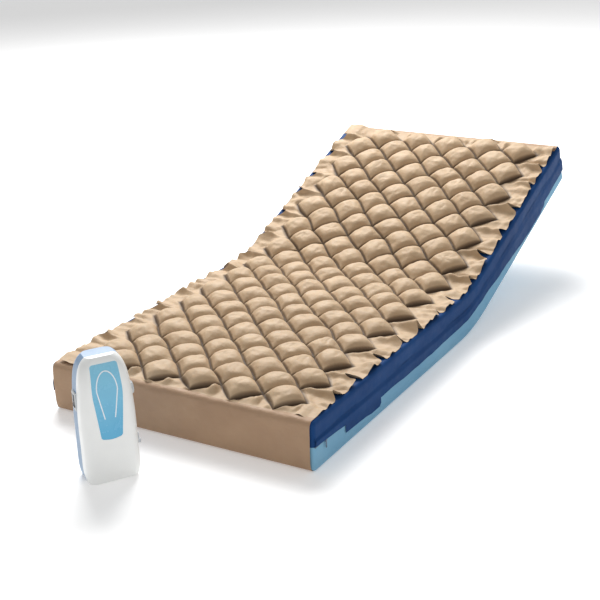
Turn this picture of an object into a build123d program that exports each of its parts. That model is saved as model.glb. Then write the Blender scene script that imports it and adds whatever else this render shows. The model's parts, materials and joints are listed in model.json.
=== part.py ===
"""Pressure relief mattress: a two-layer foam mattress in a zipped two-tone cover, an alternating-pressure
bubble pad on top of it with a tuck-in flap at each end, and the air pump that feeds the pad.

Millimetres, +Z up. X runs across the bed, Y from the foot end to the head end. The origin is the centre of
the flat base section's underside. The head end is raised about the back fold, as on a profiling bed.
"""

import math
import os

from build123d import *

# ---------------------------------------------------------------- driving dimensions: mattress
MATTRESS_WIDTH = 900.0
BASE_LENGTH = 1060.0  # foot end to the back fold
BACK_LENGTH = 890.0  # back fold to the head end
MATTRESS_HEIGHT = 150.0
BACK_RAISE = 19.4  # degrees, how far the back section stands up
FOLD_GAP = 1.0  # each section stops this far short of the fold
COVER_WALL = 1.5
COVER_EDGE_RADIUS = 12.0
COVER_FLOOR = 2.5
ZIP_HEIGHT = 75.0  # where the top cover meets the bottom cover
SUPPORT_FOAM_TOP = 95.0

# ---------------------------------------------------------------- driving dimensions: bubble pad
PAD_WIDTH = 880.0
FILM = 2.0  # the two welded films together
CELL_HALF_WIDTH = 70.0  # half the diagonal of one diamond cell across the pad
ROW_PITCH = 68.5  # half the diagonal along the pad, which is also the distance from row to row
CELL_COLUMNS = 5
CELL_ROWS = 27
FOLD_ROW = 15  # the first row whose centre lies beyond the back fold
CELL_HEIGHT = 44.0
# height and size, as shares of the full cell, at the weld, the shoulder and the crown
CELL_SECTIONS = ((0.0, 0.985), (0.55, 0.83), (1.0, 0.42))
FOLD_LEAN = 33.0  # degrees, how far the cells lean away from the fold plane
FLAP_SHEET = 1.2
FLAP_TUCK = 150.0  # length of flap under the mattress

# ---------------------------------------------------------------- driving dimensions: pump
PUMP_AT = (-2.0, -806.0)  # front centre of the pump on the floor
PUMP_TURN = 56.0  # degrees from +X to the pump's own width axis
CASE_WALL = 2.5
SEAM_DEPTH = 50.0  # front case to rear case
FOOT_HEIGHT = 3.0
# height, width, front, back and corner radius of the case at each height
CASE_SECTIONS = (
    (3, 138, 6, 106, 20),
    (22, 147, 2, 109, 22),
    (120, 150, 0, 110, 24),
    (230, 146, 3, 110, 24),
    (300, 134, 11, 108, 24),
    (338, 112, 22, 102, 24),
    (355, 82, 33, 94, 20),
)
SWITCH_AT = (66.0, 232.0)  # depth and height of the switch
DIAL_AT = (72.0, 232.0)  # depth and height of the pressure dial
OUTLET_AT = (90.0, 75.0)  # depth and height of the air outlet block
OUTLET_DEPTHS = (82.0, 98.0)
SPIGOT_RADIUS = 4.0
SPIGOT_LENGTH = 16.0
SPIGOT_BORE = 2.5

FOOT_Y = -BASE_LENGTH / 2
FOLD_Y = BASE_LENGTH / 2
HEAD_Y = FOLD_Y + BACK_LENGTH
PAD_TOP = MATTRESS_HEIGHT + FILM
RAISE = math.radians(BACK_RAISE)

# The fold line lies along X at (FOLD_Y, PAD_TOP). BACK carries points of the unfolded mattress to their
# raised places, so both sections are drawn in the same flat coordinates.
BACK = Plane(
    origin=(
        0,
        FOLD_Y - FOLD_Y * math.cos(RAISE) + PAD_TOP * math.sin(RAISE),
        PAD_TOP - FOLD_Y * math.sin(RAISE) - PAD_TOP * math.cos(RAISE),
    ),
    x_dir=(1, 0, 0),
    z_dir=(0, -math.sin(RAISE), math.cos(RAISE)),
)
BASE = Plane.XY
PUMP = Plane(
    origin=(*PUMP_AT, 0),
    x_dir=(math.cos(math.radians(PUMP_TURN)), math.sin(math.radians(PUMP_TURN)), 0),
    z_dir=(0, 0, 1),
)
# name, plane, first and last Y of the solid parts, end wall's Y, and which way its outside faces
SECTIONS = (
    ("base", BASE, FOOT_Y, FOLD_Y - FOLD_GAP, FOOT_Y, -1),
    ("back", BACK, FOLD_Y + FOLD_GAP, HEAD_Y, HEAD_Y, 1),
)

os.makedirs("parts", exist_ok=True)


def save(name, part):
    """Labels a finished piece and writes it."""
    part.label = name
    export_step(part, f"parts/{name}.step")


def upright(plane, y):
    """A sketch plane across the mattress at y: its X is the width and its Y is the height."""
    return Plane(origin=plane.from_local_coords((0, y, 0)), x_dir=plane.x_dir, z_dir=-plane.y_dir)


def facing_front(y=0.0):
    """A sketch plane across the pump at depth y: its X is the pump's width and its Y is the height."""
    return Plane(origin=PUMP.from_local_coords((0, y, 0)), x_dir=PUMP.x_dir, z_dir=-PUMP.y_dir)


def facing_left(x=0.0):
    """A sketch plane along the pump's depth at x, seen from its left: X is towards the front."""
    return Plane(origin=PUMP.from_local_coords((x, 0, 0)), x_dir=-PUMP.y_dir, z_dir=-PUMP.x_dir)


def block(plane, low, high):
    """A plain box between two corners in a plane's own coordinates."""
    size = [b - a for a, b in zip(low, high)]
    centre = tuple((a + b) / 2 for a, b in zip(low, high))
    with BuildPart(plane) as box:
        with Locations(centre):
            Box(*size)
    return box.part


def rod(sketch_plane, centre, radius, length, bore=0.0):
    """A round bar, or a tube if it has a bore, standing length deep behind a sketch plane."""
    with BuildPart() as bar:
        with BuildSketch(sketch_plane):
            with Locations(centre):
                Circle(radius)
                if bore:
                    Circle(bore, mode=Mode.SUBTRACT)
        extrude(amount=-length)
    return bar.part


# ================================================================ mattress: foam
def foam_slab(name, plane, y_low, y_high, z_low, z_high, edge_radius):
    """One foam layer of one section. The upper layer has rounded long edges."""
    with BuildPart() as foam:
        with BuildSketch(upright(plane, y_low)) as outline:
            with Locations((0, (z_low + z_high) / 2)):
                Rectangle(MATTRESS_WIDTH - 2 * COVER_WALL, z_high - z_low)
            if edge_radius:
                fillet(outline.vertices().group_by(Axis.Y)[-1], edge_radius)
        extrude(amount=-(y_high - y_low))
    save(name, foam.part)


for section, plane, y_low, y_high, _, outward in SECTIONS:
    inner_low = y_low + (COVER_WALL if outward < 0 else 0)
    inner_high = y_high - (COVER_WALL if outward > 0 else 0)
    foam_slab(f"support_foam_{section}", plane, inner_low, inner_high, COVER_FLOOR, SUPPORT_FOAM_TOP, 0)
    foam_slab(
        f"comfort_foam_{section}",
        plane,
        inner_low,
        inner_high,
        SUPPORT_FOAM_TOP,
        MATTRESS_HEIGHT - COVER_WALL,
        COVER_EDGE_RADIUS - COVER_WALL,
    )


# ================================================================ mattress: covers, zip and storm flap
def top_cover(name, plane, y_low, y_high, outward):
    """The upper cover of one section: top, two long sides and one end wall, down to the zip."""
    with BuildPart() as cover:
        with BuildSketch(upright(plane, y_low)) as wall:
            with Locations((0, (ZIP_HEIGHT + MATTRESS_HEIGHT) / 2)):
                Rectangle(MATTRESS_WIDTH, MATTRESS_HEIGHT - ZIP_HEIGHT)
            fillet(wall.vertices().group_by(Axis.Y)[-1], COVER_EDGE_RADIUS)
        extrude(amount=-(y_high - y_low))
        inner_low = y_low + (COVER_WALL if outward < 0 else -COVER_WALL)
        with BuildSketch(upright(plane, inner_low)) as inside:
            inner_top = MATTRESS_HEIGHT - COVER_WALL
            with Locations((0, (ZIP_HEIGHT + inner_top) / 2)):
                Rectangle(MATTRESS_WIDTH - 2 * COVER_WALL, inner_top - ZIP_HEIGHT)
            fillet(inside.vertices().group_by(Axis.Y)[-1], COVER_EDGE_RADIUS - COVER_WALL)
        extrude(amount=-(y_high - y_low), mode=Mode.SUBTRACT)
    save(name, cover.part)


def bottom_cover(name, plane, y_low, y_high, end_y, outward):
    """The lower cover of one section: floor, two long sides and one end wall, up to the zip.
    The floor is pressed in at the end, where the pad's flap is tucked under."""
    half = MATTRESS_WIDTH / 2
    inner_low = y_low + (COVER_WALL if outward < 0 else -COVER_WALL)
    inner_high = y_high + (COVER_WALL if outward < 0 else -COVER_WALL)
    tuck = sorted((end_y, end_y - outward * FLAP_TUCK))
    with BuildPart() as cover:
        add(block(plane, (-half, y_low, 0), (half, y_high, ZIP_HEIGHT)))
        add(
            block(
                plane,
                (-half + COVER_WALL, inner_low, COVER_FLOOR),
                (half - COVER_WALL, inner_high, ZIP_HEIGHT + 1),
            ),
            mode=Mode.SUBTRACT,
        )
        add(
            block(plane, (-PAD_WIDTH / 2, tuck[0], 0), (PAD_WIDTH / 2, tuck[1], FLAP_SHEET)),
            mode=Mode.SUBTRACT,
        )
    save(name, cover.part)


FLAP_STANDOFF = 6.0  # the storm flap hangs this far off the cover, over the zip
STORM_SHEET = 1.2
STORM_SEAM = (84.0, 88.0)
STORM_HEM = 58.0


def storm_flap(name, plane, y_low, y_high):
    """The strip of cover that hangs over the zip on both long sides, sewn on along its top edge."""
    side = MATTRESS_WIDTH / 2
    outside = side + FLAP_STANDOFF
    with BuildPart() as flap:
        with BuildSketch(upright(plane, y_low)):
            with BuildLine():
                Polyline(
                    (side, STORM_SEAM[0]),
                    (side, STORM_SEAM[1]),
                    (outside + STORM_SHEET, STORM_SEAM[1]),
                    (outside + STORM_SHEET, STORM_HEM),
                    (outside, STORM_HEM),
                    (outside, STORM_SEAM[0]),
                    close=True,
                )
            make_face()
            mirror(about=Plane.YZ)
        extrude(amount=-(y_high - y_low))
    save(name, flap.part)


ZIP_CHAIN = (4.0, 1.2)  # height and thickness of the zip's chain


def zip_chain(name, plane, y_low, y_high):
    """The closed zip between the covers, on both long sides."""
    height, thick = ZIP_CHAIN
    with BuildPart() as chain:
        with BuildSketch(upright(plane, y_low)):
            for side in (-1, 1):
                with Locations((side * (MATTRESS_WIDTH + thick) / 2, ZIP_HEIGHT)):
                    Rectangle(thick, height)
        extrude(amount=-(y_high - y_low))
    save(name, chain.part)


for section, plane, y_low, y_high, end_y, outward in SECTIONS:
    top_cover(f"top_cover_{section}", plane, y_low, y_high, outward)
    bottom_cover(f"bottom_cover_{section}", plane, y_low, y_high, end_y, outward)
    storm_flap(f"storm_flap_{section}", plane, y_low, y_high)
    zip_chain(f"zip_chain_{section}", plane, y_low, y_high)

# The zip's slider rides outside the chain, under the storm flap, with its pull hanging down.
SLIDER_Y = FOOT_Y + 60.0
SLIDER_FACE = MATTRESS_WIDTH / 2 + ZIP_CHAIN[1] + 0.3
with BuildPart() as zip_slider:
    add(block(BASE, (SLIDER_FACE, SLIDER_Y - 6, 71), (SLIDER_FACE + 2.0, SLIDER_Y + 6, 79)))
    add(block(BASE, (SLIDER_FACE + 2.0, SLIDER_Y - 3, 52), (SLIDER_FACE + 3.0, SLIDER_Y + 3, 76)))
    with Locations((SLIDER_FACE + 2.5, SLIDER_Y, 56)):
        Cylinder(1.6, 3, rotation=(0, 90, 0), mode=Mode.SUBTRACT)
save("zip_slider", zip_slider.part)

# A sewn label pocket below the storm flap's hem, on the right side near the foot end.
POCKET = ((176.0, 392.0), (30.0, STORM_HEM))
with BuildPart() as label_pocket:
    outside = MATTRESS_WIDTH / 2
    add(
        block(
            BASE,
            (outside, FOOT_Y + POCKET[0][0], POCKET[1][0]),
            (outside + STORM_SHEET, FOOT_Y + POCKET[0][1], POCKET[1][1]),
        )
    )
save("label_pocket", label_pocket.part)


# ================================================================ bubble pad
def cell_centres(rows):
    """Centres of the diamond cells in the given rows. Alternate rows are staggered by half a cell."""
    first_x = -CELL_HALF_WIDTH * (2 * CELL_COLUMNS - 1) / 2
    first_y = (FOOT_Y + HEAD_Y - ROW_PITCH * (CELL_ROWS - 1)) / 2
    centres = []
    for row in rows:
        for column in range(CELL_COLUMNS):
            x = first_x + CELL_HALF_WIDTH * (2 * column + (row + 1) % 2)
            centres.append((x, first_y + ROW_PITCH * row, 0))
    return centres


def air_cell(plane):
    """One inflated cell: a diamond that narrows in two steps to a flat crown."""
    with BuildPart() as cell:
        for rise, size in CELL_SECTIONS:
            across, along = size * CELL_HALF_WIDTH, size * ROW_PITCH
            with BuildSketch(plane.offset(PAD_TOP + rise * CELL_HEIGHT)):
                Polygon((across, 0), (0, along), (-across, 0), (0, -along))
        loft(ruled=True)
    return cell.part


def bubble_pad(name, plane, y_low, y_high, rows, lean_away):
    """One section of the pad: the welded films and every cell that reaches into this section, trimmed
    so that the cells lean away from the fold. lean_away is -1 towards the foot, 1 towards the head."""
    cell = air_cell(BASE)
    lean = math.radians(FOLD_LEAN)
    fold_edge = plane.from_local_coords((0, FOLD_Y + lean_away * FOLD_GAP, PAD_TOP))
    across = plane.y_dir * (lean_away * math.cos(lean)) - plane.z_dir * math.sin(lean)
    with BuildPart() as cells:
        for centre in cell_centres(rows):
            with Locations(plane.location * Location(centre)):
                add(cell)
        split(bisect_by=Plane(origin=fold_edge, z_dir=across), keep=Keep.TOP)
    with BuildPart() as pad:
        add(block(plane, (-PAD_WIDTH / 2, y_low, MATTRESS_HEIGHT), (PAD_WIDTH / 2, y_high, PAD_TOP)))
        add(cells.part)
    save(name, pad.part)


# The fold crosses the cells of the rows on both sides of it, so both sections have these rows.
bubble_pad("bubble_pad_base", BASE, FOOT_Y, FOLD_Y - FOLD_GAP, range(0, FOLD_ROW + 1), -1)
bubble_pad("bubble_pad_back", BACK, FOLD_Y + FOLD_GAP, HEAD_Y, range(FOLD_ROW - 1, CELL_ROWS), 1)


def end_flap(name, plane, end_y, outward):
    """The plain sheet at one end of the pad: down the end of the mattress and tucked under it."""
    outside = end_y + outward * FLAP_SHEET
    tucked = end_y - outward * FLAP_TUCK
    half = PAD_WIDTH / 2
    wall = sorted((end_y, outside))
    tongue = sorted((tucked, outside))
    with BuildPart() as flap:
        add(block(plane, (-half, wall[0], 0), (half, wall[1], PAD_TOP)))
        add(block(plane, (-half, tongue[0], 0), (half, tongue[1], FLAP_SHEET)))
    save(name, flap.part)


end_flap("foot_flap", BASE, FOOT_Y, -1)
end_flap("head_flap", BACK, HEAD_Y, 1)

# The pad's two air inlets, one for each set of cells: a moulded port block on the film's foot margin.
INLET_X = (-330.0, -306.0)
INLET_Z = PAD_TOP + 7.0
INLET_FRONT = FOOT_Y - 2.0
with BuildPart() as air_inlets:
    add(block(BASE, (INLET_X[0] - 12, INLET_FRONT, PAD_TOP), (INLET_X[1] + 12, FOOT_Y + 3, PAD_TOP + 14)))
    for x in INLET_X:
        add(rod(upright(BASE, INLET_FRONT - SPIGOT_LENGTH), (x, INLET_Z), SPIGOT_RADIUS, SPIGOT_LENGTH))
    for x in INLET_X:
        add(
            rod(upright(BASE, INLET_FRONT - SPIGOT_LENGTH), (x, INLET_Z), SPIGOT_BORE, SPIGOT_LENGTH + 4),
            mode=Mode.SUBTRACT,
        )
save("air_inlets", air_inlets.part)


# ================================================================ pump: case
def case_volume(inset):
    """The solid inside the case's skin, drawn in by inset all round."""
    with BuildPart() as volume:
        for number, (height, width, front, back, corner) in enumerate(CASE_SECTIONS):
            if number == 0:
                height += inset
            if number == len(CASE_SECTIONS) - 1:
                height -= inset
            with BuildSketch(PUMP.offset(height)):
                with Locations((0, (front + back) / 2)):
                    RectangleRounded(width - 2 * inset, back - front - 2 * inset, corner - inset)
        loft()
    return volume.part


outer_volume = case_volume(0)
inner_volume = case_volume(CASE_WALL)
boss_volume = case_volume(CASE_WALL / 2)

PANEL_OUTLINE = ((0, 128), (29, 134), (42, 262), (37, 340), (-37, 340), (-42, 262), (-29, 134))
PANEL_RADII = (70, 9, 260, 8, 8, 260, 9)
PANEL_RECESS = 1.5
PANEL_FACE = 0.5  # the panel's face lies this far below the case's
ARCH = (28.0, 52.0, 268.0, 190.0)  # half-width, rise, springing height and foot height of the arch line
ARCH_LINE = 3.0
BOSSES = ((-62, 16), (62, 16), (-46, 318), (46, 318))
BOSS_RADIUS = 4.5
SCREW_RADIUS = 1.5
SCREW_SEAT = 92.0
SCREW_HEAD = (3.2, 2.4)  # radius and height
SCREW_WELL = 3.5
# x, height, radius and front depth of the rear case's inner pillars
DISTRIBUTOR_AT = (0.0, 180.0)
DISTRIBUTOR_BACK = 98.0
BOARD_FACE = 90.0
BOARD_THICKNESS = 1.6
BOARD_HOLES = ((-32, 246), (32, 246), (-32, 296), (32, 296))
PILLARS = ((*DISTRIBUTOR_AT, 16, DISTRIBUTOR_BACK),) + tuple(
    (x, z, 3, BOARD_FACE + BOARD_THICKNESS) for x, z in BOARD_HOLES
)
CASE_BACK = 112.0  # behind every point of the case


def panel_prism():
    """The panel's outline, cut straight back through the front of the case."""
    with BuildPart() as prism:
        with BuildSketch(facing_front(-5)):
            with BuildLine():
                FilletPolyline(*PANEL_OUTLINE, radius=PANEL_RADII, close=True)
            make_face()
        extrude(amount=-45)
    return prism.part


def front_skin(prism, low, high):
    """The layer of the case's front between two depths below its face, inside a prism."""
    with BuildPart() as skin:
        add(prism)
        add(case_volume(low), mode=Mode.INTERSECT)
        add(case_volume(high), mode=Mode.SUBTRACT)
    return skin.part


def posts(places, radius, low, high):
    """Round posts between two depths, trimmed to the case."""
    with BuildPart() as bars:
        for centre in places:
            add(rod(facing_front(low), centre, radius, high - low))
        add(boss_volume, mode=Mode.INTERSECT)
    return bars.part


seam = Plane(origin=PUMP.from_local_coords((0, SEAM_DEPTH, 0)), z_dir=-PUMP.y_dir)
panel_shape = panel_prism()

with BuildPart() as front_case:
    add(outer_volume)
    add(inner_volume, mode=Mode.SUBTRACT)
    split(bisect_by=seam, keep=Keep.TOP)
    add(front_skin(panel_shape, 0, PANEL_RECESS), mode=Mode.SUBTRACT)
    add(posts(BOSSES, BOSS_RADIUS, 0, SEAM_DEPTH))
    for centre in BOSSES:
        add(rod(facing_front(30), centre, SCREW_RADIUS, 30), mode=Mode.SUBTRACT)
save("pump_front_case", front_case.part)

with BuildPart() as pump_panel:
    add(front_skin(panel_shape, PANEL_FACE, PANEL_RECESS))
save("pump_panel", pump_panel.part)


def arch_prism():
    """A tall half ellipse on two straight legs that draw together, as a line of constant width."""
    half, rise, spring, foot = ARCH
    with BuildPart() as prism:
        with BuildSketch(facing_front(-5)):
            with BuildLine() as path:
                EllipticalCenterArc((0, spring), half, rise, start_angle=0, arc_size=180)
                Line((half, spring), (half / 2, foot))
                Line((-half, spring), (-half / 2, foot))
            trace(path.edges(), line_width=ARCH_LINE)
        extrude(amount=-45)
    return prism.part


with BuildPart() as panel_arch:
    add(front_skin(arch_prism(), PANEL_FACE - 0.3, PANEL_FACE))
save("panel_arch", panel_arch.part)

SWITCH_HOUSING = (30.0, 52.0)  # depth and height of the switch housing
DIAL_PLATE_RADIUS = 20.0
OUTLET_BLOCK = (28.0, 30.0)  # depth and height
FUSE_AT = (38.0, 40.0)
GLAND_AT = (-38.0, 40.0)
FILTER_AT = (0.0, 90.0)
FUSE_RADIUS = 7.0
GLAND_RADIUS = 9.0
FILTER_RADIUS = 16.0
BACK_FITTINGS = ((FUSE_AT, FUSE_RADIUS), (GLAND_AT, GLAND_RADIUS), (FILTER_AT, FILTER_RADIUS))
HANGER_X = 38.0
HANGER_Y = 116.0
LUG_HEIGHTS = ((283.0, 288.7), (301.3, 307.0))
LUG_HALF = 6.0
PIVOT_RADIUS = 2.0
RUNNING_CLEARANCE = 0.05


def side_block(x_low, x_high, depth, height, size):
    """A box on the pump's side, centred on a depth and a height."""
    half_depth, half_height = size[0] / 2, size[1] / 2
    low = (x_low, depth - half_depth, height - half_height)
    high = (x_high, depth + half_depth, height + half_height)
    return block(PUMP, low, high)


with BuildPart() as rear_case:
    add(outer_volume)
    add(inner_volume, mode=Mode.SUBTRACT)
    split(bisect_by=seam, keep=Keep.BOTTOM)
    add(posts(BOSSES, BOSS_RADIUS, SEAM_DEPTH, CASE_BACK))
    for x, z, radius, front in PILLARS:
        add(posts([(x, z)], radius, front, CASE_BACK))
    for side in (-1, 1):  # lugs that hold the hangers' pins
        x = side * HANGER_X
        for z_low, z_high in LUG_HEIGHTS:
            add(block(PUMP, (x - LUG_HALF, 107, z_low), (x + LUG_HALF, HANGER_Y + LUG_HALF, z_high)))
        add(rod(PUMP.offset(307), (x, HANGER_Y), PIVOT_RADIUS, 24), mode=Mode.SUBTRACT)
    for centre in BOSSES:  # screw holes and screwdriver wells
        add(rod(facing_front(SEAM_DEPTH), centre, SCREW_RADIUS, 60), mode=Mode.SUBTRACT)
        add(rod(facing_front(SCREW_SEAT), centre, SCREW_WELL, 30), mode=Mode.SUBTRACT)
    add(side_block(-90, -61, *SWITCH_AT, SWITCH_HOUSING), mode=Mode.SUBTRACT)
    add(rod(facing_left(90), (-DIAL_AT[0], DIAL_AT[1]), DIAL_PLATE_RADIUS, -26), mode=Mode.SUBTRACT)
    add(side_block(57, 90, *OUTLET_AT, OUTLET_BLOCK), mode=Mode.SUBTRACT)
    for centre, radius in BACK_FITTINGS:
        add(rod(facing_front(102), centre, radius, 20), mode=Mode.SUBTRACT)
save("pump_rear_case", rear_case.part)

with BuildPart() as case_screws:
    for centre in BOSSES:
        add(rod(facing_front(34), centre, SCREW_RADIUS, SCREW_SEAT - 34))
        add(rod(facing_front(SCREW_SEAT), centre, SCREW_HEAD[0], SCREW_HEAD[1]))
    for x, z in BOSSES:
        slot = block(PUMP, (x - 2.4, SCREW_SEAT + 1.4, z - 0.4), (x + 2.4, SCREW_SEAT + 3, z + 0.4))
        add(slot, mode=Mode.SUBTRACT)
save("case_screws", case_screws.part)

with BuildPart() as pump_feet:
    with BuildSketch(PUMP):
        with Locations((-50, 26), (50, 26), (-50, 88), (50, 88)):
            Circle(8)
    extrude(amount=FOOT_HEIGHT)
    chamfer(pump_feet.edges().group_by(Axis.Z)[0], 0.8)
save("pump_feet", pump_feet.part)

# ================================================================ pump: controls and fittings
ROCKER_PIVOT = -69.0
ROCKER_TILT = 8.0
ROCKER_HALF = (8.6, 17.0)  # half its width along the pump's depth, and half its height
POCKET_HALF = (9.0, 19.0)
PIN_REACH = 11.0
PIN_END_GAP = 0.3
ROCKER_PIN = 1.5
PUMP_WIDTH = Axis((0, 0, 0), tuple(PUMP.x_dir))
PUMP_DEPTH = Axis((0, 0, 0), tuple(PUMP.y_dir))

with BuildPart() as switch_housing:
    depth, height = SWITCH_AT
    add(side_block(-76, -61, depth, height, SWITCH_HOUSING))
    chamfer(switch_housing.faces().sort_by(PUMP_WIDTH)[0].edges(), 1.5)
    pocket = (2 * POCKET_HALF[0], 2 * POCKET_HALF[1])
    add(side_block(-77, -62.5, depth, height, pocket), mode=Mode.SUBTRACT)
    pin_bore = ROCKER_PIN + RUNNING_CLEARANCE
    hole_front = facing_front(depth - PIN_REACH - PIN_END_GAP)
    hole_length = 2 * (PIN_REACH + PIN_END_GAP)
    add(rod(hole_front, (ROCKER_PIVOT, height), pin_bore, hole_length), mode=Mode.SUBTRACT)
save("switch_housing", switch_housing.part)

# The rocker's face is a shallow V. At rest its upper half is pressed in.
tilt = math.radians(ROCKER_TILT)
rocker_plane = Plane(
    origin=PUMP.from_local_coords((ROCKER_PIVOT, SWITCH_AT[0] - ROCKER_HALF[0], SWITCH_AT[1])),
    x_dir=PUMP.x_dir * math.cos(tilt) - PUMP.z_dir * math.sin(tilt),
    z_dir=-PUMP.y_dir,
)
with BuildPart() as power_rocker:
    half_depth, half_height = ROCKER_HALF
    with BuildSketch(rocker_plane):
        with BuildLine():
            Polyline(
                (3, half_height),
                (-7.5, half_height),
                (-5.2, 0),
                (-7.5, -half_height),
                (3, -half_height),
                close=True,
            )
        make_face()
    extrude(amount=-2 * half_depth)
    fillet(power_rocker.edges().group_by(PUMP_WIDTH)[0], 0.6)
    pin_front = facing_front(SWITCH_AT[0] - PIN_REACH)
    add(rod(pin_front, (ROCKER_PIVOT, SWITCH_AT[1]), ROCKER_PIN, 2 * PIN_REACH))
save("power_rocker", power_rocker.part)

DIAL_FACE = 75.0  # where the dial plate's face stands along the pump's width
DIAL_RADIUS = 17.0
DIAL_HEIGHT = 12.0
DIAL_SHAFT = 3.0
DIAL_SCALLOPS = 14


def facing_right(x):
    """A sketch plane along the pump's depth at x, seen from its right: X is towards the back."""
    return Plane(origin=PUMP.from_local_coords((x, *DIAL_AT)), x_dir=PUMP.y_dir, z_dir=PUMP.x_dir)


with BuildPart() as dial_plate:
    add(rod(facing_right(DIAL_FACE), (0, 0), DIAL_PLATE_RADIUS, 11, bore=DIAL_SHAFT + RUNNING_CLEARANCE))
    chamfer(dial_plate.edges().group_by(PUMP_WIDTH)[-1].sort_by(SortBy.RADIUS)[-1], 1)
save("dial_plate", dial_plate.part)

with BuildPart() as pressure_dial:
    with BuildSketch(facing_right(DIAL_FACE + 0.5)):
        Circle(DIAL_RADIUS)
        with PolarLocations(DIAL_RADIUS + 2.2, DIAL_SCALLOPS):
            Circle(3.4, mode=Mode.SUBTRACT)
    extrude(amount=DIAL_HEIGHT)
    chamfer(pressure_dial.faces().sort_by(PUMP_WIDTH)[-1].edges(), 0.8)
    with BuildSketch(facing_right(DIAL_FACE + 0.5 + DIAL_HEIGHT)):
        with Locations((0, 9)):
            Rectangle(1.6, 9)
    extrude(amount=-0.8, mode=Mode.SUBTRACT)
    add(rod(facing_right(DIAL_FACE + 0.5), (0, 0), DIAL_SHAFT, 14))
save("pressure_dial", pressure_dial.part)

# One moulded block carries both air outlets, which point up from a shelf outside, and two elbows inside.
OUTLET_FACE = 76.0
SHELF_REACH = 24.0
SPIGOT_X = 93.0  # far enough out for a hose to pass the pressure dial above
SHELF_HEIGHT = 12.0
INNER_SPIGOT = 3.0
ELBOW_X = 62.0
SHELF_Z = OUTLET_AT[1] - OUTLET_BLOCK[1] / 2 + SHELF_HEIGHT
OUTLET_TOP = OUTLET_AT[1] + OUTLET_BLOCK[1] / 2


def facing_side(x, depth, height):
    """A sketch plane facing out of the pump's right side, centred on a depth and a height."""
    return Plane(origin=PUMP.from_local_coords((x, depth, height)), x_dir=PUMP.y_dir, z_dir=PUMP.x_dir)


with BuildPart() as air_outlets:
    add(side_block(57, OUTLET_FACE, *OUTLET_AT, OUTLET_BLOCK))
    shelf = (OUTLET_BLOCK[0], SHELF_HEIGHT)
    shelf_end = OUTLET_FACE + SHELF_REACH
    add(side_block(OUTLET_FACE, shelf_end, OUTLET_AT[0], SHELF_Z - SHELF_HEIGHT / 2, shelf))
    chamfer(air_outlets.faces().sort_by(PUMP_WIDTH)[-1].edges(), 2)
    for depth in OUTLET_DEPTHS:
        add(rod(PUMP.offset(SHELF_Z + SPIGOT_LENGTH), (SPIGOT_X, depth), SPIGOT_RADIUS, SPIGOT_LENGTH))
        add(rod(PUMP.offset(OUTLET_TOP + 8), (ELBOW_X, depth), INNER_SPIGOT, 8))
    for depth in OUTLET_DEPTHS:
        spigot_tip = PUMP.offset(SHELF_Z + SPIGOT_LENGTH)
        bore = rod(spigot_tip, (SPIGOT_X, depth), SPIGOT_BORE, SPIGOT_LENGTH + 6)
        add(bore, mode=Mode.SUBTRACT)
save("air_outlets", air_outlets.part)

FITTING_FACE = 113.0
with BuildPart() as fuse_cap:
    add(rod(facing_front(102), FUSE_AT, FUSE_RADIUS, FITTING_FACE - 102))
    chamfer(fuse_cap.edges().group_by(PUMP_DEPTH)[-1], 1)
    x, z = FUSE_AT
    add(block(PUMP, (x - 5, FITTING_FACE - 1.5, z - 0.8), (x + 5, FITTING_FACE, z + 0.8)), mode=Mode.SUBTRACT)
save("fuse_cap", fuse_cap.part)

with BuildPart() as mains_gland:
    add(rod(facing_front(98), GLAND_AT, GLAND_RADIUS + 2, 4))
    add(rod(facing_front(102), GLAND_AT, GLAND_RADIUS, FITTING_FACE - 102))
    add(rod(facing_front(FITTING_FACE), GLAND_AT, 6, 9))
    add(rod(facing_front(97), GLAND_AT, 3.2, 26), mode=Mode.SUBTRACT)
save("mains_gland", mains_gland.part)

with BuildPart() as filter_cover:
    add(rod(facing_front(102), FILTER_AT, FILTER_RADIUS, FITTING_FACE - 102))
    chamfer(filter_cover.edges().group_by(PUMP_DEPTH)[-1], 1)
    x, z = FILTER_AT
    for rise in (-9, -3, 3, 9):
        reach = 0.8 * math.sqrt(FILTER_RADIUS**2 - rise**2) - 1
        low = (x - reach, 101, z + rise - 1)
        high = (x + reach, FITTING_FACE + 1, z + rise + 1)
        add(block(PUMP, low, high), mode=Mode.SUBTRACT)
save("filter_cover", filter_cover.part)

# ================================================================ pump: fold-out bed hangers
HANGER_HEIGHTS = (289.0, 301.0)
HANGER_REACH = 30.0
HANGER_DROP = 34.0
HANGER_THICKNESS = 5.0
BARREL_RADIUS = 5.0


def hanger(side):
    """One hanger, folded flat against the back: a barrel, an arm and a tip that drops behind the rail."""
    x = side * HANGER_X
    inner = x - side * HANGER_REACH
    z_low, z_high = HANGER_HEIGHTS
    y_low = HANGER_Y - HANGER_THICKNESS / 2
    y_high = HANGER_Y + HANGER_THICKNESS / 2
    tip = sorted((inner, inner + side * 6))
    with BuildPart() as hook:
        add(rod(PUMP.offset(z_high), (x, HANGER_Y), BARREL_RADIUS, z_high - z_low))
        add(block(PUMP, (min(x, inner), y_low, z_low), (max(x, inner), y_high, z_high)))
        add(block(PUMP, (tip[0], y_low, z_high - HANGER_DROP), (tip[1], y_high, z_high)))
        bore = PIVOT_RADIUS + RUNNING_CLEARANCE
        add(rod(PUMP.offset(z_high + 1), (x, HANGER_Y), bore, z_high - z_low + 2), mode=Mode.SUBTRACT)
    return hook.part


save("hanger_left", hanger(-1))
save("hanger_right", hanger(1))

with BuildPart() as hanger_pins:
    for x in (-HANGER_X, HANGER_X):
        add(rod(PUMP.offset(LUG_HEIGHTS[1][1]), (x, HANGER_Y), PIVOT_RADIUS, 24))
        add(rod(PUMP.offset(LUG_HEIGHTS[1][1] + 1.2), (x, HANGER_Y), PIVOT_RADIUS + 1.2, 1.2))
save("hanger_pins", hanger_pins.part)

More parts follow.
